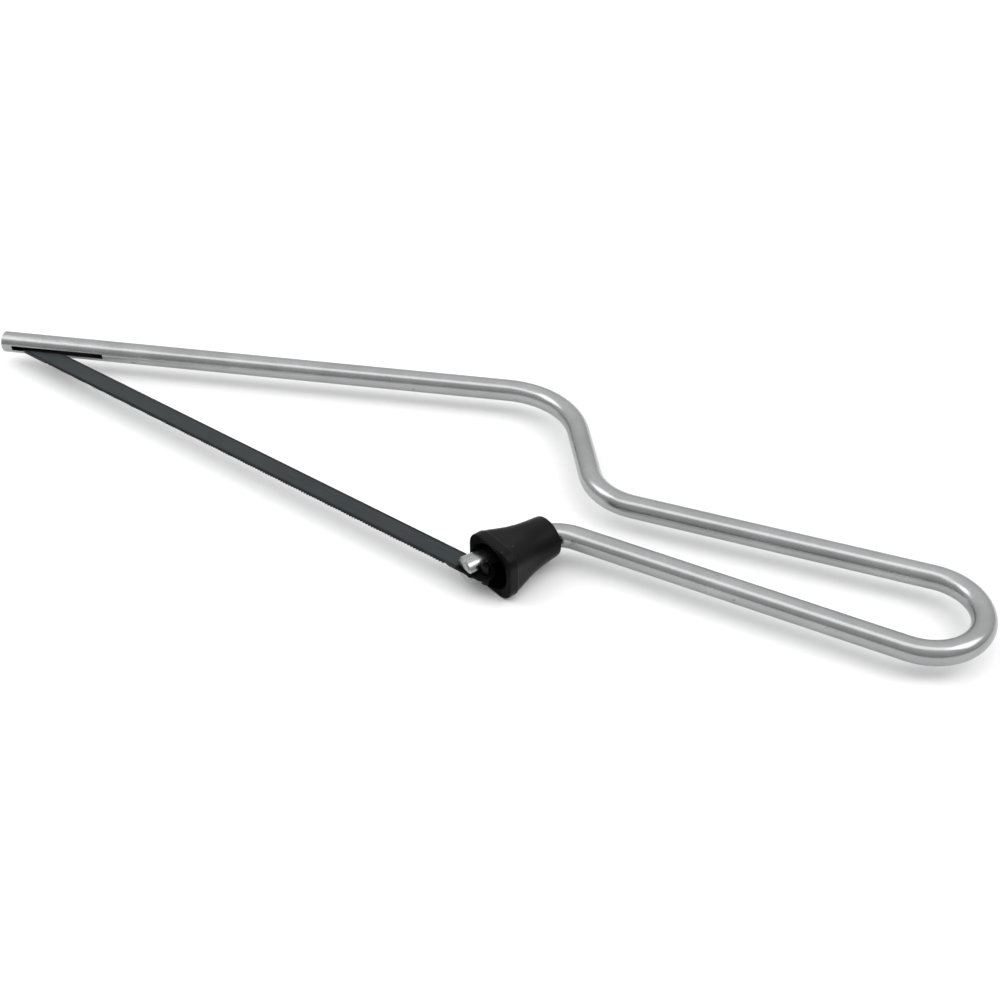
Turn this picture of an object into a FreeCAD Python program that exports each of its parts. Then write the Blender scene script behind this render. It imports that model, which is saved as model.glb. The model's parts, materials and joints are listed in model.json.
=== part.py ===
"""Small bent-wire bow saw for metal: a plated rod bow with a wire-loop handle, a pinned
150 mm blade held in two sawn slots, and a loose moulded knob on the rod's rear end.

The outline of the bow is laid out in a plane: x runs along the straight arm from its front
end, y points out of the bow, away from the blade. The saw lies flat: that plane is level,
and the flat underside of the knob's flange is the lowest face, at z = 0.
"""
import FreeCAD, Part
import math
import os
from FreeCAD import Vector

# Driving dimensions, in millimetres and degrees
rod_diameter = 5.3
rod_end_chamfer = 0.35
arm_length = 146.1
crank_corner = (157.7, -39.2)
loop_centre = (229.0, -65.7)
loop_radius = 12.0
rear_corner = (149.4, -52.1)
rod_tail = (132.95, -68.5)
arm_bend_radius = 20.0
crank_bend_radius = 14.3
rear_bend_radius = 10.0

slot_width = 1.3
slot_drop = 0.15
blade_drop = 0.35
front_slot_start = 2.9
front_slot_end = 27.2
slot_cutter_radius = 13.0
rear_slot_depth = 9.0

blade_angle = -27.4
blade_width = 5.0
blade_thickness = 0.65
blade_length = 150.0
pin_spacing = 146.4
blade_corner_radius = 2.3
front_pin_place = (7.9, -1.3)
pin_diameter = 2.0
rear_pin_length = 5.0
pin_chamfer = 0.2
pivot_play = 0.05
seat_play = 0.1
seat_relief_length = 6.0

knob_mouth_centre = (138.3, -66.65)
knob_angle = 229.5
knob_length = 16.2
flange_width = 13.8
flange_height = 12.4
flange_corner_radius = 3.6
flange_thickness = 2.4
flange_edge_radius = 0.4
knob_bore_radius = 4.2
knob_bore_length = 1.0
knob_mouth_radius = 5.4
knob_mouth_chamfer = 0.3
# Flank of the knob: distance from its rear face, half width, half height, corner radius
flank_sections = [
    (0.0, 4.85, 4.85, 4.75),
    (3.6, 5.05, 5.05, 4.75),
    (6.0, 5.15, 5.15, 4.4),
    (8.5, 5.45, 5.3, 3.8),
    (10.8, 6.0, 5.65, 3.6),
    (12.8, 6.6, 6.0, 3.55),
    (13.8, 6.8, 6.15, 3.55),
]

# Worked out from the driving dimensions
rod_radius = rod_diameter / 2
pin_radius = pin_diameter / 2
blade_overhang = (blade_length - pin_spacing) / 2
plane_height = flange_height / 2
middle_x = (loop_centre[0] + loop_radius + rod_radius) / 2
middle_y = (loop_centre[1] - loop_radius) / 2


def at(point, z=0.0):
    """A point of the bow's layout, z above the bow's plane, in the part's own frame."""
    return Vector(point[0] - middle_x, point[1] - middle_y, z + plane_height)


def heading(angle):
    """Unit vector in the bow's plane."""
    return Vector(math.cos(math.radians(angle)), math.sin(math.radians(angle)), 0)


def tangent_point(start, side):
    """Where the tangent from start meets the handle's end loop; side is 1 or -1."""
    centre = at(loop_centre)
    to_centre = centre - start
    half_angle = math.degrees(math.acos(loop_radius / to_centre.Length))
    back = math.degrees(math.atan2(-to_centre.y, -to_centre.x))
    return centre + heading(back + side * half_angle) * loop_radius


def bend(before, corner, after, radius):
    """Ends and middle of the arc that rounds a corner of the bow."""
    towards_before = (before - corner).normalize()
    towards_after = (after - corner).normalize()
    half_turn = (math.pi - towards_before.getAngle(towards_after)) / 2
    run = radius * math.tan(half_turn)
    bisector = (towards_before + towards_after).normalize()
    middle = corner + bisector * radius * (1 / math.cos(half_turn) - 1)
    return corner + towards_before * run, middle, corner + towards_after * run


def straight_run(start, end):
    """Round rod between two points."""
    return Part.makeCylinder(rod_radius, (end - start).Length, start, end - start)


def bent_run(start, middle, end):
    """Round rod along an arc of the bow's plane."""
    arc = Part.Arc(start, middle, end).toShape()
    centre = arc.Curve.Center
    first = start - centre
    sweep = math.degrees(arc.Length / arc.Curve.Radius)
    sign = 1 if first.cross(middle - centre).z > 0 else -1
    across = Vector(0, 0, 1).cross(first).normalize()
    section = Part.Face(Part.Wire(Part.makeCircle(rod_radius, start, across)))
    return section.revolve(centre, Vector(0, 0, sign), sweep)


def chamfer_end(rod, tip):
    """Break the sharp edge of the rod's end face at tip."""
    rim = [edge for edge in rod.Edges
           if isinstance(edge.Curve, Part.Circle)
           and edge.Curve.Center.distanceToPoint(tip) < 0.01]
    return rod.makeChamfer(rod_end_chamfer, rim)


def flat_bar(start, angle, length, width, thickness):
    """Plate in the bow's plane that starts at a point and runs along an angle."""
    bar = Part.makeBox(length, width, thickness, Vector(0, -width / 2, -thickness / 2))
    bar.Placement = FreeCAD.Placement(start, FreeCAD.Rotation(Vector(0, 0, 1), angle))
    return bar


def upright_pin(centre, radius, length):
    """Cylinder square to the bow's plane, with its middle at centre."""
    return Part.makeCylinder(radius, length, centre - Vector(0, 0, length / 2), Vector(0, 0, 1))


def pin_seat():
    """Cutter for the rear pin's seat, open along the path on which the blade swings out."""
    centre = at(rear_pin_place)
    radius = pin_radius + seat_play
    seat = upright_pin(centre, radius, 2 * rod_diameter)
    way_out = flat_bar(centre, blade_angle - 90, seat_relief_length, 2 * radius, 2 * rod_diameter)
    return seat.fuse(way_out)


def make_frame_rod():
    """Bow and handle: one plated rod, bent in one plane, with a slot sawn in each end."""
    front = at((0, 0))
    arm_corner = at((arm_length, 0))
    crank = at(crank_corner)
    rear = at(rear_corner)
    tail = at(rod_tail)
    loop_start = tangent_point(crank, -1)
    loop_end = tangent_point(rear, 1)
    loop_far_side = at((loop_centre[0] + loop_radius, loop_centre[1]))

    arm_bend = bend(front, arm_corner, crank, arm_bend_radius)
    crank_bend = bend(arm_corner, crank, loop_start, crank_bend_radius)
    rear_bend = bend(loop_end, rear, tail, rear_bend_radius)

    runs = [
        straight_run(front, arm_bend[0]),
        bent_run(*arm_bend),
        straight_run(arm_bend[2], crank_bend[0]),
        bent_run(*crank_bend),
        straight_run(crank_bend[2], loop_start),
        bent_run(loop_start, loop_far_side, loop_end),
        straight_run(loop_end, rear_bend[0]),
        bent_run(*rear_bend),
        straight_run(rear_bend[2], tail),
    ]
    rod = runs[0].multiFuse(runs[1:]).removeSplitter()
    rod = chamfer_end(rod, front)
    rod = chamfer_end(rod, tail)

    half_slot = (front_slot_end - front_slot_start) / 2
    cutter_drop = math.sqrt(slot_cutter_radius ** 2 - half_slot ** 2)
    cutter_place = (front_slot_start + half_slot, -rod_radius - cutter_drop)
    front_slot = upright_pin(at(cutter_place, -slot_drop), slot_cutter_radius, slot_width)
    pin_hole = upright_pin(at(front_pin_place), pin_radius, 2 * rod_diameter)
    slot_mouth = at(rod_tail, -slot_drop)
    rear_slot = flat_bar(slot_mouth, tail_angle, rear_slot_depth, 2 * rod_diameter, slot_width)
    return rod.cut([front_slot, pin_hole, rear_slot, pin_seat()])


def make_front_pin():
    """Cross pin through the arm, trimmed to the rod's round surface: the blade turns on it."""
    pin = upright_pin(at(front_pin_place), pin_radius, 2 * rod_diameter)
    arm = straight_run(at((0, 0)), at((front_slot_end, 0)))
    return pin.common(arm)


def make_blade():
    """Pinned blade: a flat bar with rounded corners and a hole near each end."""
    front = at(front_pin_place, -blade_drop)
    start = front - heading(blade_angle) * blade_overhang
    blade = flat_bar(start, blade_angle, blade_length, blade_width, blade_thickness)
    corners = [edge for edge in blade.Edges if abs(edge.Length - blade_thickness) < 0.01]
    blade = blade.makeFillet(blade_corner_radius, corners)
    pivot_hole = upright_pin(front, pin_radius + pivot_play, rod_diameter)
    rear_hole = upright_pin(at(rear_pin_place), pin_radius, rod_diameter)
    return blade.cut([pivot_hole, rear_hole])


def make_rear_pin():
    """Cross pin pressed into the blade's rear end; it hooks behind the rod's tail."""
    pin = upright_pin(at(rear_pin_place, -blade_drop), pin_radius, rear_pin_length)
    rims = [edge for edge in pin.Edges if isinstance(edge.Curve, Part.Circle)]
    return pin.makeChamfer(pin_chamfer, rims)


def rounded_oblong(distance, half_width, half_height, radius):
    """Oblong wire with round corners, at a distance from the knob's rear face."""
    corners = []
    for turn, (side, level) in enumerate(((1, 1), (-1, 1), (-1, -1), (1, -1))):
        centre = Vector(side * (half_width - radius), level * (half_height - radius), distance)
        corners.append([centre + heading(90 * turn + angle) * radius for angle in (0, 45, 90)])
    edges = []
    for corner, after in zip(corners, corners[1:] + corners[:1]):
        edges.append(Part.Arc(*corner).toShape())
        edges.append(Part.makeLine(corner[2], after[0]))
    return Part.Wire(edges)


def make_knob():
    """Hollow moulded knob: round behind, flared to an oblong flange in front."""
    flank = Part.makeLoft([rounded_oblong(*section) for section in flank_sections], True)
    flange_base = knob_length - flange_thickness
    outline = rounded_oblong(flange_base, flange_width / 2, flange_height / 2, flange_corner_radius)
    flange = Part.Face(outline).extrude(Vector(0, 0, flange_thickness))
    rims = [edge for edge in flange.Edges
            if abs(edge.Vertexes[0].Z - edge.Vertexes[-1].Z) < 0.01]
    flange = flange.makeFillet(flange_edge_radius, rims)

    mouth_depth = knob_length - knob_bore_length
    bore = Part.makeCylinder(knob_bore_radius, knob_length)
    hollow = Part.makeCone(knob_bore_radius, knob_mouth_radius, mouth_depth,
                           Vector(0, 0, knob_bore_length))
    mouth_edge = Part.makeCone(knob_mouth_radius - knob_mouth_chamfer,
                               knob_mouth_radius + knob_mouth_chamfer,
                               2 * knob_mouth_chamfer,
                               Vector(0, 0, knob_length - knob_mouth_chamfer))
    knob = flank.fuse(flange).cut([bore, hollow, mouth_edge])

    forward = heading(knob_angle)
    upward = Vector(0, 0, 1)
    turned = FreeCAD.Rotation(upward.cross(forward), upward, forward, "ZXY")
    rear_face = at(knob_mouth_centre) - forward * knob_length
    knob.Placement = FreeCAD.Placement(rear_face, turned)
    return knob


tail_angle = math.degrees(math.atan2(rear_corner[1] - rod_tail[1], rear_corner[0] - rod_tail[0]))
rear_pin_place = (
    front_pin_place[0] + pin_spacing * heading(blade_angle).x,
    front_pin_place[1] + pin_spacing * heading(blade_angle).y,
)

makers = {
    "frame_rod": make_frame_rod,
    "front_pin": make_front_pin,
    "saw_blade": make_blade,
    "rear_pin": make_rear_pin,
    "knob": make_knob,
}

os.makedirs("parts", exist_ok=True)
for node, make in makers.items():
    shape = make()
    shape.exportStep("parts/" + node + ".step")
    print(node, "solids", len(shape.Solids), "valid", shape.isValid(), "volume", round(shape.Volume, 1))
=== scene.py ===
"""Looks of the small bow saw: plated rod, blued blade with set teeth, black moulded knob.

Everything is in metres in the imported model's own frame: +X along the arm towards the
handle, +Y out of the bow, +Z up. The saw lies on its side on a pale floor.
"""
import json
import math

import bmesh
import bpy
import numpy as np
from mathutils import Matrix, Vector


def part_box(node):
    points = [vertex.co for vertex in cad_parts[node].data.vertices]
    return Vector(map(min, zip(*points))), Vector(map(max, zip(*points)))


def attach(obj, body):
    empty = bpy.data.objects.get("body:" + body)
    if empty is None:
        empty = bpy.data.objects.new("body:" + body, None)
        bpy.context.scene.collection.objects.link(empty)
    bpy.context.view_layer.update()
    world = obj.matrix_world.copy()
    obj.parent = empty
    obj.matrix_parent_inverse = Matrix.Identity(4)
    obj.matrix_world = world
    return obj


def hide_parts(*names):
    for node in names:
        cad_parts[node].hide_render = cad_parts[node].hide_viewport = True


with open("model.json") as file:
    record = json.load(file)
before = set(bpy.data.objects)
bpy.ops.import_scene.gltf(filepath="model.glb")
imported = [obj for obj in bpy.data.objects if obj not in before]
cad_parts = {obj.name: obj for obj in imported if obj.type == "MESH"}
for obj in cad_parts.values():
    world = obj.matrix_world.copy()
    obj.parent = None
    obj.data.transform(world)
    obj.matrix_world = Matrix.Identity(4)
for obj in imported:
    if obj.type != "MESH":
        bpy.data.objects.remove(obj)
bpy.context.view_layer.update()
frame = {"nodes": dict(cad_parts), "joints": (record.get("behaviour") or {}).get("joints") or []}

MM = 0.001
UP = Vector((0.0, 0.0, 1.0))
ORIGIN = Vector((0.0, 0.0, 0.0))


def centre_of(node):
    """Middle of a CAD node's box."""
    low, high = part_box(node)
    return (low + high) / 2


# ---------------------------------------------------------------- sizes and places

# Sawn slots of the rod; the front one's middle and reach are measured along the arm
SLOT_HALF_WIDTH = 0.65 * MM
SLOT_DROP = 0.15 * MM
FRONT_SLOT_MIDDLE = 15.0 * MM
FRONT_SLOT_REACH = 13.5 * MM

rod_low, rod_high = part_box("frame_rod")
rod_radius = (rod_high.z - rod_low.z) / 2
slot_height = rod_high.z - rod_radius - SLOT_DROP

# Blade and its teeth
BLADE_WIDTH = 5.0 * MM
BLADE_LENGTH = 150.0 * MM
BLADE_CORNER = 2.3 * MM
CORNER_POINTS = 9
PIVOT_PLAY = 0.05 * MM
HOLE_POINTS = 48
TOOTH_PITCH = 0.8 * MM
TOOTH_DEPTH = 0.36 * MM
TOOTH_FIRST = 9.0 * MM
TOOTH_RUN_OUT = 1.4 * MM
TOOTH_RAKE = 0.12 * MM
TOOTH_SET = 0.07 * MM
TEETH_PER_WAVE = 8

front_pin = centre_of("front_pin")
rear_pin = centre_of("rear_pin")
pin_low, pin_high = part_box("rear_pin")
pin_radius = (pin_high - pin_low).x / 2
blade_low, blade_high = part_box("saw_blade")
blade_height = (blade_low.z + blade_high.z) / 2
blade_thickness = blade_high.z - blade_low.z
blade_run = (rear_pin - front_pin) * Vector((1.0, 1.0, 0.0))
blade_along = blade_run.normalized()
blade_angle = math.atan2(blade_along.y, blade_along.x)

# Knob
KNOB_LENGTH = 16.2 * MM
KNOB_SEGMENTS = 96
# Flank and flange, in millimetres: distance from the rear face, half width, half height,
# corner radius
KNOB_OUTSIDE = [
    (0.0, 4.64, 4.64, 4.64), (0.04, 4.75, 4.75, 4.75), (0.15, 4.82, 4.82, 4.82),
    (0.45, 4.86, 4.86, 4.84), (3.6, 5.04, 5.04, 4.80), (6.0, 5.16, 5.15, 4.45),
    (8.5, 5.45, 5.30, 3.90), (10.8, 5.98, 5.64, 3.65), (12.8, 6.52, 5.94, 3.55),
    (13.72, 6.70, 6.06, 3.55), (13.80, 6.76, 6.11, 3.55), (13.90, 6.86, 6.17, 3.58),
    (14.05, 6.89, 6.19, 3.60), (15.75, 6.90, 6.19, 3.60), (16.00, 6.86, 6.15, 3.56),
    (16.14, 6.77, 6.06, 3.50), (16.20, 6.62, 5.91, 3.38),
]
# Hollow, in millimetres, from the front face back: distance from the rear face, radius
KNOB_INSIDE = [
    (16.2, 5.72), (16.14, 5.57), (15.98, 5.47), (15.6, 5.40), (12.0, 5.09), (8.0, 4.77),
    (5.0, 4.53), (2.5, 4.33), (1.0, 4.22), (0.25, 4.21), (0.06, 4.25), (0.0, 4.34),
]

knob_turn = next(joint for joint in frame["joints"] if joint["name"] == "knob_turn")
knob_mouth = Vector(knob_turn["pos_m"])
knob_forward = Vector(knob_turn["axis"]).normalized()

# ---------------------------------------------------------------- node material helpers

# Colour sockets of the Mix node, by number: its other kinds of socket share their names
MIX_FIRST, MIX_SECOND, MIX_RESULT = 6, 7, 2


def ramp_node(tree, factor, stops):
    """Colour ramp read at a factor; each stop is (position, colour)."""
    node = tree.nodes.new("ShaderNodeValToRGB")
    elements = node.color_ramp.elements
    while len(elements) < len(stops):
        elements.new(0.5)
    for element, (position, colour) in zip(elements, stops):
        element.position = position
        element.color = (*colour, 1.0)
    tree.links.new(factor, node.inputs["Fac"])
    return node.outputs["Color"]


class Nodes:
    """A material's node tree with short calls for the nodes that repeat."""

    def __init__(self, name, metallic):
        self.material = bpy.data.materials.new(name)
        self.material.use_nodes = True
        self.tree = self.material.node_tree
        self.shader = self.tree.nodes["Principled BSDF"]
        self.shader.inputs["Metallic"].default_value = metallic
        self.coordinates = self.add("ShaderNodeTexCoord").outputs["Object"]

    def add(self, kind, **settings):
        """New node of a kind, with some of its settings changed."""
        node = self.tree.nodes.new(kind)
        for name, value in settings.items():
            setattr(node, name, value)
        return node

    def link(self, source, target):
        """Join an output to an input."""
        self.tree.links.new(source, target)

    def mapped(self, scale=(1, 1, 1), turn=(0, 0, 0), place=(0, 0, 0)):
        """Object coordinates turned into a piece's own directions, then stretched."""
        turned = self.add("ShaderNodeMapping", vector_type="TEXTURE")
        turned.inputs["Location"].default_value = place
        turned.inputs["Rotation"].default_value = turn
        self.link(self.coordinates, turned.inputs["Vector"])
        stretched = self.add("ShaderNodeMapping", vector_type="POINT")
        stretched.inputs["Scale"].default_value = scale
        self.link(turned.outputs["Vector"], stretched.inputs["Vector"])
        return stretched.outputs["Vector"]

    def split(self, vector):
        """The X, Y and Z of a vector."""
        node = self.add("ShaderNodeSeparateXYZ")
        self.link(vector, node.inputs["Vector"])
        return node.outputs

    def noise(self, vector, scale, detail, roughness, distortion=0.0):
        """Cloudy noise, from 0 to 1; the scale is in waves to the metre."""
        node = self.add("ShaderNodeTexNoise")
        node.inputs["Scale"].default_value = scale
        node.inputs["Detail"].default_value = detail
        node.inputs["Roughness"].default_value = roughness
        node.inputs["Distortion"].default_value = distortion
        self.link(vector, node.inputs["Vector"])
        return node.outputs["Fac"]

    def remap(self, value, low, high, to_low=0.0, to_high=1.0):
        """Smooth step from to_low to to_high as a value goes from low to high."""
        node = self.add("ShaderNodeMapRange", interpolation_type="SMOOTHSTEP")
        node.inputs["From Min"].default_value = low
        node.inputs["From Max"].default_value = high
        node.inputs["To Min"].default_value = to_low
        node.inputs["To Max"].default_value = to_high
        self.link(value, node.inputs["Value"])
        return node.outputs["Result"]

    def math(self, operation, *values):
        """Result of a Math node; a value is a number or an output."""
        node = self.add("ShaderNodeMath", operation=operation)
        for socket, value in zip(node.inputs, values):
            if isinstance(value, (int, float)):
                socket.default_value = value
            else:
                self.link(value, socket)
        return node.outputs["Value"]

    def within(self, value, middle, half, blur):
        """One where a value is no further than half from the middle, fading to nought."""
        off = self.math("ABSOLUTE", self.math("SUBTRACT", value, middle))
        return self.remap(off, half, half + blur, 1.0, 0.0)

    def ramp(self, factor, *stops):
        """Colour ramp of this material."""
        return ramp_node(self.tree, factor, stops)

    def mix(self, factor, first, second):
        """Colour that goes from the first to the second as the factor goes from 0 to 1."""
        node = self.add("ShaderNodeMix", data_type="RGBA")
        self.link(factor, node.inputs["Factor"])
        for number, value in ((MIX_FIRST, first), (MIX_SECOND, second)):
            if isinstance(value, tuple):
                node.inputs[number].default_value = (*value, 1.0)
            else:
                self.link(value, node.inputs[number])
        return node.outputs[MIX_RESULT]

    def bump(self, *heights):
        """Chain of bumps, each (height, strength, distance in metres)."""
        normal = None
        for height, strength, distance in heights:
            node = self.add("ShaderNodeBump")
            node.inputs["Strength"].default_value = strength
            node.inputs["Distance"].default_value = distance
            self.link(height, node.inputs["Height"])
            if normal is not None:
                self.link(normal, node.inputs["Normal"])
            normal = node.outputs["Normal"]
        self.link(normal, self.shader.inputs["Normal"])

    def colour(self, value):
        """Drive the shader's colour."""
        self.link(value, self.shader.inputs["Base Color"])

    def roughness(self, value):
        """Drive the shader's roughness."""
        self.link(value, self.shader.inputs["Roughness"])


# ---------------------------------------------------------------- materials


def inside_slots(m, coordinates):
    """Mask of the rod's sawn slots, where shade is painted: their level walls, and the front one's
    whole stretch.
    """
    wall_blur, arm_blur = 0.05 * MM, 0.1 * MM
    place = m.split(coordinates)
    facing = m.split(m.add("ShaderNodeNewGeometry").outputs["True Normal"])
    at_height = m.within(place["Z"], slot_height, SLOT_HALF_WIDTH + wall_blur, wall_blur)
    level_wall = m.remap(m.math("ABSOLUTE", facing["Z"]), 0.90, 0.97)
    across_arm = m.within(place["Y"], rod_high.y - rod_radius, rod_radius * 0.93, arm_blur)
    along_arm = m.within(place["X"], rod_low.x + FRONT_SLOT_MIDDLE, FRONT_SLOT_REACH, arm_blur)
    in_arm = m.math("MULTIPLY", across_arm, along_arm)
    return m.math("MULTIPLY", at_height, m.math("MAXIMUM", level_wall, in_arm))


def plated_rod_material():
    """Nickel plate on drawn steel wire: satin gloss, faint drawing lines, stains.

    The walls of the sawn slots are bare and rough, and painted near black as the shade inside the
    slots.
    """
    dull_plate, plate, bright_plate = (
        (0.292, 0.295, 0.296), (0.334, 0.338, 0.340), (0.364, 0.369, 0.371))
    stain = (0.195, 0.190, 0.182)
    # Painted shade: the slots are painted near black, far darker than bare steel, as the shade
    # inside them
    bare_steel_and_shade = (0.020, 0.020, 0.020)

    m = Nodes("plated_rod_finish", metallic=1.0)
    plain = m.mapped()
    cloud = m.noise(plain, scale=90.0, detail=5.0, roughness=0.6)
    lines = m.noise(m.mapped(scale=(1.0, 14.0, 14.0)), scale=420.0, detail=3.0, roughness=0.6)
    specks = m.noise(plain, scale=2400.0, detail=2.0, roughness=0.5)
    blots = m.noise(plain, scale=260.0, detail=3.0, roughness=0.7, distortion=0.6)
    stained = m.remap(blots, 0.66, 0.74)
    bare_shaded_slot = inside_slots(m, plain)

    clean = m.ramp(cloud, (0.30, dull_plate), (0.55, plate), (0.75, bright_plate))
    # The slot mask paints bare rough steel with painted shade over it
    m.colour(m.mix(bare_shaded_slot, m.mix(stained, clean, stain), bare_steel_and_shade))
    satin = m.remap(cloud, 0.3, 0.7, 0.17, 0.25)
    drawn = m.remap(lines, 0.3, 0.7, -0.03, 0.05)
    gloss = m.math("ADD", m.math("ADD", satin, drawn), m.math("MULTIPLY", stained, 0.2))
    m.roughness(m.math("ADD", gloss, m.math("MULTIPLY", bare_shaded_slot, 0.4)))
    m.bump((cloud, 0.05, 0.4 * MM), (lines, 0.06, 0.04 * MM), (specks, 0.02, 0.02 * MM))
    return m.material


def shaded_pin_steel_material():
    """Turned steel of the rear cross pin: dark steel painted near black as the shade of the knob's
    mouth.
    """
    # Painted shade: both tones are near black, as the pin sits in the knob's shaded mouth
    dark, paler = (0.007, 0.007, 0.008), (0.016, 0.016, 0.017)

    m = Nodes("pin_steel_finish", metallic=1.0)
    rings = m.noise(m.mapped(scale=(1.0, 1.0, 9.0)), scale=1500.0, detail=3.0, roughness=0.6)
    cloud = m.noise(m.mapped(), scale=500.0, detail=4.0, roughness=0.6)
    m.colour(m.ramp(cloud, (0.3, dark), (0.7, paler)))
    m.roughness(m.remap(cloud, 0.3, 0.7, 0.28, 0.45))
    m.bump((rings, 0.15, 0.03 * MM))
    return m.material


def shaded_stretches(m, along):
    """Mask of painted shade on the blade: near and in the arm's slot, and from the tail's slot to
    its end.
    """
    arm_start, arm_full = 0.85 * MM, 0.55 * MM
    tail_start, tail_full = 6.6 * MM, 6.0 * MM
    arm_near_side = rod_high.y - 2 * rod_radius
    towards_arm = m.split(m.mapped())["Y"]
    at_arm = m.remap(towards_arm, arm_near_side - arm_start, arm_near_side - arm_full)
    at_tail = m.remap(along, blade_run.length - tail_start, blade_run.length - tail_full)
    return m.math("MAXIMUM", at_arm, at_tail)


def blued_blade_material():
    """Blued spring steel: grey-blue oxide, ground along its length, darker at its edges.

    It is painted black as shade where it lies in the frame's slots, and from the rear one to its
    end.
    """
    dark_blue, blue, pale_blue = (
        (0.022, 0.030, 0.033), (0.031, 0.038, 0.041), (0.041, 0.047, 0.049))
    ground_steel = (0.052, 0.058, 0.059)
    dark_edge = (0.013, 0.017, 0.019)
    # Painted shade: near black where the slot and the knob's mouth shade the blade
    slot_shade_black = (0.0015, 0.0015, 0.0015)
    edge_start, edge_full, edge_wobble = 0.8 * MM, 0.3 * MM, 0.6 * MM

    m = Nodes("blued_steel_finish", metallic=0.85)
    own = {"turn": (0, 0, blade_angle), "place": tuple(front_pin)}
    plain = m.mapped(**own)
    grind = m.noise(m.mapped(scale=(1.0, 40.0, 40.0), **own),
                    scale=160.0, detail=4.0, roughness=0.65)
    cloud = m.noise(m.mapped(scale=(1.0, 2.2, 2.2), **own),
                    scale=70.0, detail=5.0, roughness=0.6, distortion=0.4)
    fine = m.noise(plain, scale=3200.0, detail=2.0, roughness=0.5)
    place = m.split(plain)
    wobble = m.math("MULTIPLY", m.math("SUBTRACT", grind, 0.5), edge_wobble)
    from_middle = m.math("ADD", m.math("ABSOLUTE", place["Y"]), wobble)
    edge = m.remap(from_middle, BLADE_WIDTH / 2 - edge_start, BLADE_WIDTH / 2 - edge_full)
    shaded_stretch = shaded_stretches(m, place["X"])

    blued = m.ramp(cloud, (0.28, dark_blue), (0.50, blue), (0.72, pale_blue))
    ground = m.mix(m.remap(grind, 0.45, 0.75), blued, ground_steel)
    # Painted shade over the stretches in the slots and in the knob's mouth
    m.colour(m.mix(shaded_stretch, m.mix(edge, ground, dark_edge), slot_shade_black))
    satin = m.remap(cloud, 0.3, 0.7, 0.36, 0.46)
    gloss = m.math("ADD", satin, m.remap(grind, 0.3, 0.7, -0.05, 0.07))
    m.roughness(m.math("ADD", gloss, m.math("MULTIPLY", shaded_stretch, 0.3)))
    m.bump((grind, 0.25, 0.03 * MM), (fine, 0.10, 0.01 * MM))
    return m.material


def moulded_knob_material():
    """Black moulded plastic: satin skin, a fine mould grain, paler edges that are partly rubbed
    and partly a painted highlight, a front face painted darker and less specular as shade.
    """
    deep_black, black = (0.0016, 0.0014, 0.0018), (0.0036, 0.0032, 0.0034)
    # Front face: painted shade, a darker black and less specular than the skin
    front_shade_black = (0.0012, 0.0010, 0.0011)
    # Sharp edges: paler, partly rubbed wear and partly a painted highlight
    pale_edge_highlight = (0.040, 0.037, 0.035)
    skin_specular, front_shade_specular = 0.10, 0.035

    m = Nodes("black_moulding_finish", metallic=0.0)
    plain = m.mapped()
    grain = m.noise(plain, scale=5200.0, detail=3.0, roughness=0.6)
    flow = m.noise(plain, scale=300.0, detail=4.0, roughness=0.6, distortion=0.8)
    geometry = m.add("ShaderNodeNewGeometry").outputs
    # Mask of the sharp edges, where a highlight is painted
    edge = m.remap(geometry["Pointiness"], 0.62, 0.70)
    # Mask of the front face, where shade is painted
    facing = m.add("ShaderNodeVectorMath", operation="DOT_PRODUCT")
    m.link(geometry["True Normal"], facing.inputs[0])
    facing.inputs[1].default_value = knob_forward
    front = m.remap(facing.outputs["Value"], 0.80, 0.97)

    skin = m.mix(front, m.ramp(flow, (0.3, deep_black), (0.7, black)), front_shade_black)
    m.colour(m.mix(edge, skin, pale_edge_highlight))
    specular = m.remap(front, 0.0, 1.0, skin_specular, front_shade_specular)
    m.link(specular, m.shader.inputs["Specular IOR Level"])
    m.roughness(m.remap(flow, 0.3, 0.7, 0.34, 0.46))
    m.bump((flow, 0.10, 0.3 * MM), (grain, 0.14, 0.03 * MM))
    return m.material


def floor_material():
    """Plain pale matt paper."""
    shade, paler = (0.88, 0.88, 0.88), (0.90, 0.90, 0.90)

    m = Nodes("floor_finish", metallic=0.0)
    fibre = m.noise(m.mapped(), scale=600.0, detail=3.0, roughness=0.6)
    m.colour(m.ramp(fibre, (0.3, shade), (0.7, paler)))
    m.roughness(m.remap(fibre, 0.3, 0.7, 0.75, 0.9))
    return m.material


def use(obj, material):
    """Give an object one material in place of any that it has."""
    obj.data.materials.clear()
    obj.data.materials.append(material)


def new_object(name, built):
    """Object in the scene with the mesh that a bmesh holds."""
    mesh = bpy.data.meshes.new(name)
    built.normal_update()
    built.to_mesh(mesh)
    built.free()
    obj = bpy.data.objects.new(name, mesh)
    bpy.context.scene.collection.objects.link(obj)
    return obj


# ---------------------------------------------------------------- blade


def arc_points(centre, radius, start, stop, count):
    """Points of an arc in a plane, from one angle to another in degrees."""
    angles = np.radians(np.linspace(start, stop, count))
    return [(centre[0] + radius * math.cos(a), centre[1] + radius * math.sin(a)) for a in angles]


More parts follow.
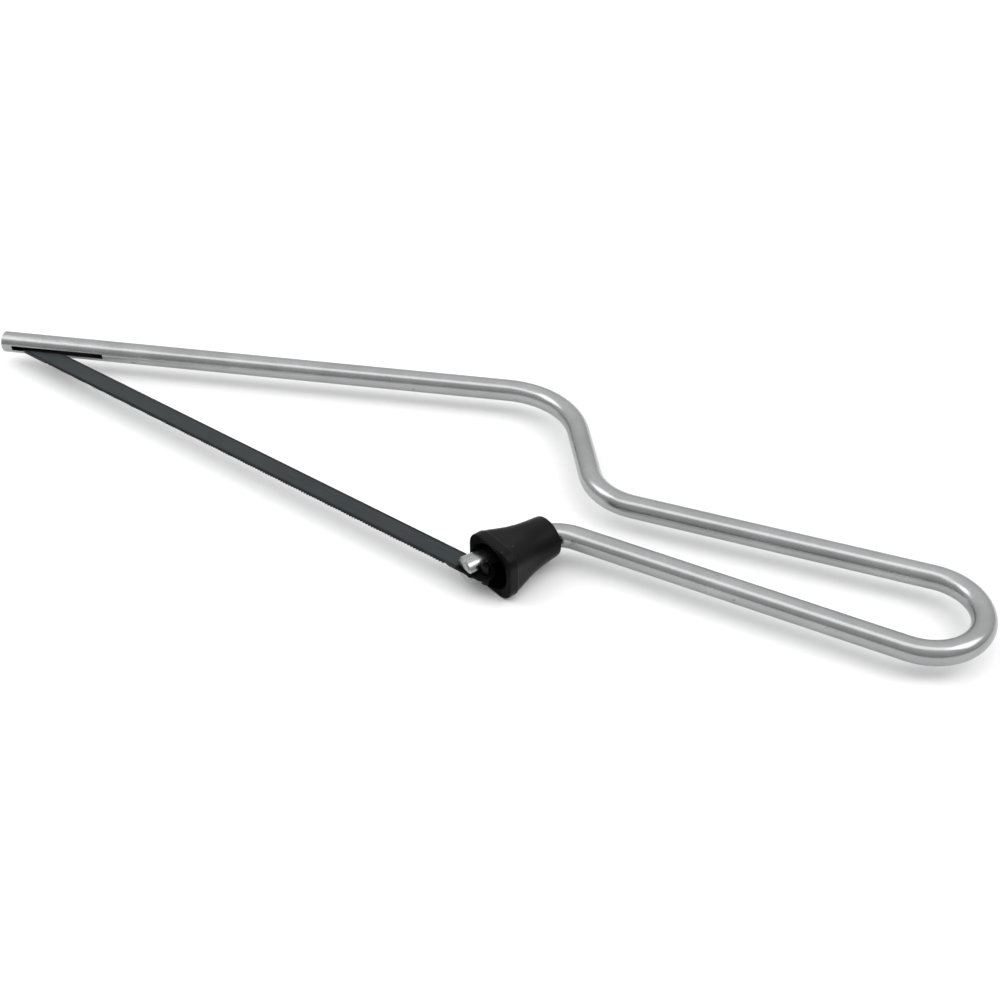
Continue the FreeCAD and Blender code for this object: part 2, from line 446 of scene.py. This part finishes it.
def blade_outline():
    """Outline of the blade without its teeth, and the points between the teeth.

    The layout has the front pin at nought and runs along x to the rear pin.
    """
    overhang = (BLADE_LENGTH - blade_run.length) / 2
    low_x, high_x = -overhang, BLADE_LENGTH - overhang
    half, r = BLADE_WIDTH / 2, BLADE_CORNER
    tooth_count = int((blade_run.length - 2 * TOOTH_FIRST) / TOOTH_PITCH)
    gullets = [(TOOTH_FIRST + i * TOOTH_PITCH, TOOTH_DEPTH - half) for i in range(tooth_count + 1)]
    outline = arc_points((low_x + r, r - half), r, 180, 270, CORNER_POINTS)
    outline += [(gullets[0][0] - TOOTH_RUN_OUT, -half)]
    outline += gullets
    outline += [(gullets[-1][0] + TOOTH_RUN_OUT, -half)]
    outline += arc_points((high_x - r, r - half), r, 270, 360, CORNER_POINTS)
    outline += arc_points((high_x - r, half - r), r, 0, 90, CORNER_POINTS)
    outline += arc_points((low_x + r, half - r), r, 90, 180, CORNER_POINTS)
    return outline, gullets


def pin_holes():
    """Rims of the two pin holes; the front one has play, because the blade turns there."""
    all_round = (0, 360 - 360 / HOLE_POINTS, HOLE_POINTS)
    return [arc_points((0, 0), pin_radius + PIVOT_PLAY, *all_round),
            arc_points((blade_run.length, 0), pin_radius, *all_round)]


def blade_side(built, loops, height):
    """One flat side of the blade, filled between its outline and its holes."""
    rows, edges = [], []
    for loop in loops:
        row = [built.verts.new((x, y, height)) for x, y in loop]
        edges += [built.edges.new(pair) for pair in zip(row, row[1:] + row[:1])]
        rows.append(row)
    bmesh.ops.triangle_fill(built, edges=edges, use_beauty=True, use_dissolve=False)
    return rows


def tooth_side(built, roots, gullets, height):
    """One side of the teeth, leaning in a wave; gives the row from gullet to tip and on."""
    row = [roots[0]]
    for i, (before, after) in enumerate(zip(roots, roots[1:])):
        lean = TOOTH_SET * math.sin(2 * math.pi * i / TEETH_PER_WAVE)
        tip = built.verts.new((gullets[i][0] + TOOTH_RAKE, -BLADE_WIDTH / 2, height + lean))
        built.faces.new((before, tip, after))
        row += [tip, after]
    return row


def make_blade():
    """Flat pinned blade with a wave of fine teeth along its outer edge."""
    outline, gullets = blade_outline()
    first, last = outline.index(gullets[0]), outline.index(gullets[-1])
    built = bmesh.new()
    sides = []
    for height in (-blade_thickness / 2, blade_thickness / 2):
        edge, *holes = blade_side(built, [outline, *pin_holes()], height)
        teeth = tooth_side(built, edge[first:last + 1], gullets, height)
        plain_edge = edge[last:] + edge[:first + 1]
        sides.append([plain_edge, teeth, *(hole + hole[:1] for hole in holes)])
    for lower, upper in zip(*sides):
        for corners in zip(lower, lower[1:], upper[1:], upper):
            built.faces.new(corners)
    bmesh.ops.recalc_face_normals(built, faces=built.faces)
    pivot = Vector((front_pin.x, front_pin.y, blade_height))
    built.transform(Matrix.Translation(pivot) @ Matrix.Rotation(blade_angle, 4, "Z"))
    return new_object("toothed_blade", built)


blade = make_blade()
use(blade, blued_blade_material())
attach(blade, "blade")
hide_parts("saw_blade")

# ---------------------------------------------------------------- knob


def oblong_ring(half_width, half_height, radius):
    """Points round an oblong with round corners, evenly by angle."""
    inner = Vector((half_width - radius, half_height - radius))
    points = []
    for i in range(KNOB_SEGMENTS):
        a = 2 * math.pi * (i + 0.5) / KNOB_SEGMENTS
        ray = Vector((abs(math.cos(a)), abs(math.sin(a))))
        reach = min(half_width / ray.x, half_height / ray.y)
        if ray.x * reach > inner.x and ray.y * reach > inner.y:
            along = inner.dot(ray)
            reach = along + math.sqrt(max(along ** 2 - inner.length_squared + radius ** 2, 0.0))
        points.append((reach * math.cos(a), reach * math.sin(a)))
    return points


def make_knob():
    """Hollow moulding: round behind, flared to an oblong flange in front."""
    built = bmesh.new()
    rings = []
    hollow = [(distance, radius, radius, radius) for distance, radius in KNOB_INSIDE]
    for distance, *shape in KNOB_OUTSIDE + hollow:
        ring = [(x * MM, y * MM, distance * MM) for x, y in oblong_ring(*shape)]
        rings.append([built.verts.new(point) for point in ring])
    for ring, after in zip(rings, rings[1:] + rings[:1]):
        for i in range(KNOB_SEGMENTS):
            j = (i + 1) % KNOB_SEGMENTS
            built.faces.new((ring[i], ring[j], after[j], after[i]))
    bmesh.ops.recalc_face_normals(built, faces=built.faces)
    sideways = UP.cross(knob_forward)
    turned = Matrix((sideways, UP, knob_forward)).transposed().to_4x4()
    rear_face = knob_mouth - knob_forward * KNOB_LENGTH
    built.transform(Matrix.Translation(rear_face) @ turned)
    obj = new_object("moulded_knob", built)
    for face in obj.data.polygons:
        face.use_smooth = True
    smooth = obj.modifiers.new("smooth", "SUBSURF")
    smooth.levels = 1
    smooth.render_levels = 1
    return obj


knob = make_knob()
use(knob, moulded_knob_material())
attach(knob, "knob_body")
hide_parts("knob")

# ---------------------------------------------------------------- carried-over CAD nodes

rod_finish = plated_rod_material()
for name in ("frame_rod", "front_pin"):
    use(frame["nodes"][name], rod_finish)
use(frame["nodes"]["rear_pin"], shaded_pin_steel_material())

# ---------------------------------------------------------------- stage, lights, camera

FLOOR_HALF_SIDE = 3.0
FLOOR_CELLS = 8

# Brightness of the room by height of the direction, from the horizon to straight up. The
# front's shades give way to the back's as the direction's Y goes from -SIDE_BLEND to SIDE_BLEND.
FRONT_SHADES = ((0.0, 0.32), (0.25, 0.42), (0.7, 0.60), (1.0, 0.95))
BACK_SHADES = ((0.0, 0.55), (0.3, 0.70), (0.7, 0.88), (1.0, 0.95))
SIDE_BLEND = 0.35
ROOM_STRENGTH = 1.35

# Soft boxes aimed at the middle of the saw: name, place, sides, watts
SOFT_BOXES = (
    ("key_light", (0.05, -0.22, 0.80), (1.5, 0.36), 2.1),
    ("left_light", (-0.75, 0.0, 0.75), (0.5, 0.5), 2.0),
    ("right_light", (0.75, 0.0, 0.75), (0.5, 0.5), 2.0),
)

# Camera: the X and Y that it aims at, its distance and angles, and its lens in millimetres
CAMERA_AIM = (14.73 * MM, -4.68 * MM)
CAMERA_DISTANCE = 358.6 * MM
CAMERA_AZIMUTH = math.radians(9.85)
CAMERA_ELEVATION = math.radians(38.0)
CAMERA_LENS = 57.6
CAMERA_SENSOR = 36.0
CAMERA_CLIP_START = 0.01


def make_floor():
    """Wide level sheet under the saw."""
    built = bmesh.new()
    bmesh.ops.create_grid(built, x_segments=FLOOR_CELLS, y_segments=FLOOR_CELLS,
                          size=FLOOR_HALF_SIDE)
    floor = new_object("floor", built)
    use(floor, floor_material())


def soft_box(name, place, sides, watts):
    """Rectangular area light aimed at the middle of the saw."""
    data = bpy.data.lights.new(name, "AREA")
    data.shape = "RECTANGLE"
    data.size, data.size_y = sides
    data.energy = watts
    light = bpy.data.objects.new(name, data)
    light.location = place
    light.rotation_euler = (ORIGIN - Vector(place)).to_track_quat("-Z", "Y").to_euler()
    bpy.context.scene.collection.objects.link(light)


def make_world():
    """Pale studio, darker in front of the saw than behind it."""
    world = bpy.data.worlds.new("room")
    bpy.context.scene.world = world
    world.use_nodes = True
    tree = world.node_tree
    coordinates = tree.nodes.new("ShaderNodeTexCoord")
    direction = tree.nodes.new("ShaderNodeSeparateXYZ")
    tree.links.new(coordinates.outputs["Generated"], direction.inputs["Vector"])
    blend = tree.nodes.new("ShaderNodeMix")
    blend.data_type = "RGBA"
    for shades, number in ((FRONT_SHADES, MIX_FIRST), (BACK_SHADES, MIX_SECOND)):
        greys = [(position, (grey, grey, grey)) for position, grey in shades]
        tree.links.new(ramp_node(tree, direction.outputs["Z"], greys), blend.inputs[number])
    side = tree.nodes.new("ShaderNodeMapRange")
    side.inputs["From Min"].default_value = -SIDE_BLEND
    side.inputs["From Max"].default_value = SIDE_BLEND
    tree.links.new(direction.outputs["Y"], side.inputs["Value"])
    tree.links.new(side.outputs["Result"], blend.inputs["Factor"])
    background = tree.nodes["Background"]
    tree.links.new(blend.outputs[MIX_RESULT], background.inputs["Color"])
    background.inputs["Strength"].default_value = ROOM_STRENGTH


def make_camera():
    """Camera at the photograph's angle, 38 degrees above the bow's plane."""
    data = bpy.data.cameras.new("camera")
    data.lens = CAMERA_LENS
    data.sensor_width = CAMERA_SENSOR
    data.clip_start = CAMERA_CLIP_START
    camera = bpy.data.objects.new("camera", data)
    target = Vector((*CAMERA_AIM, centre_of("frame_rod").z))
    back = Vector((math.sin(CAMERA_AZIMUTH) * math.cos(CAMERA_ELEVATION),
                   -math.cos(CAMERA_AZIMUTH) * math.cos(CAMERA_ELEVATION),
                   math.sin(CAMERA_ELEVATION)))
    camera.location = target + back * CAMERA_DISTANCE
    camera.rotation_euler = (-back).to_track_quat("-Z", "Y").to_euler()
    bpy.context.scene.collection.objects.link(camera)
    bpy.context.scene.camera = camera


make_floor()
make_world()
for box in SOFT_BOXES:
    soft_box(*box)
make_camera()

bpy.context.scene.view_settings.view_transform = "Standard"
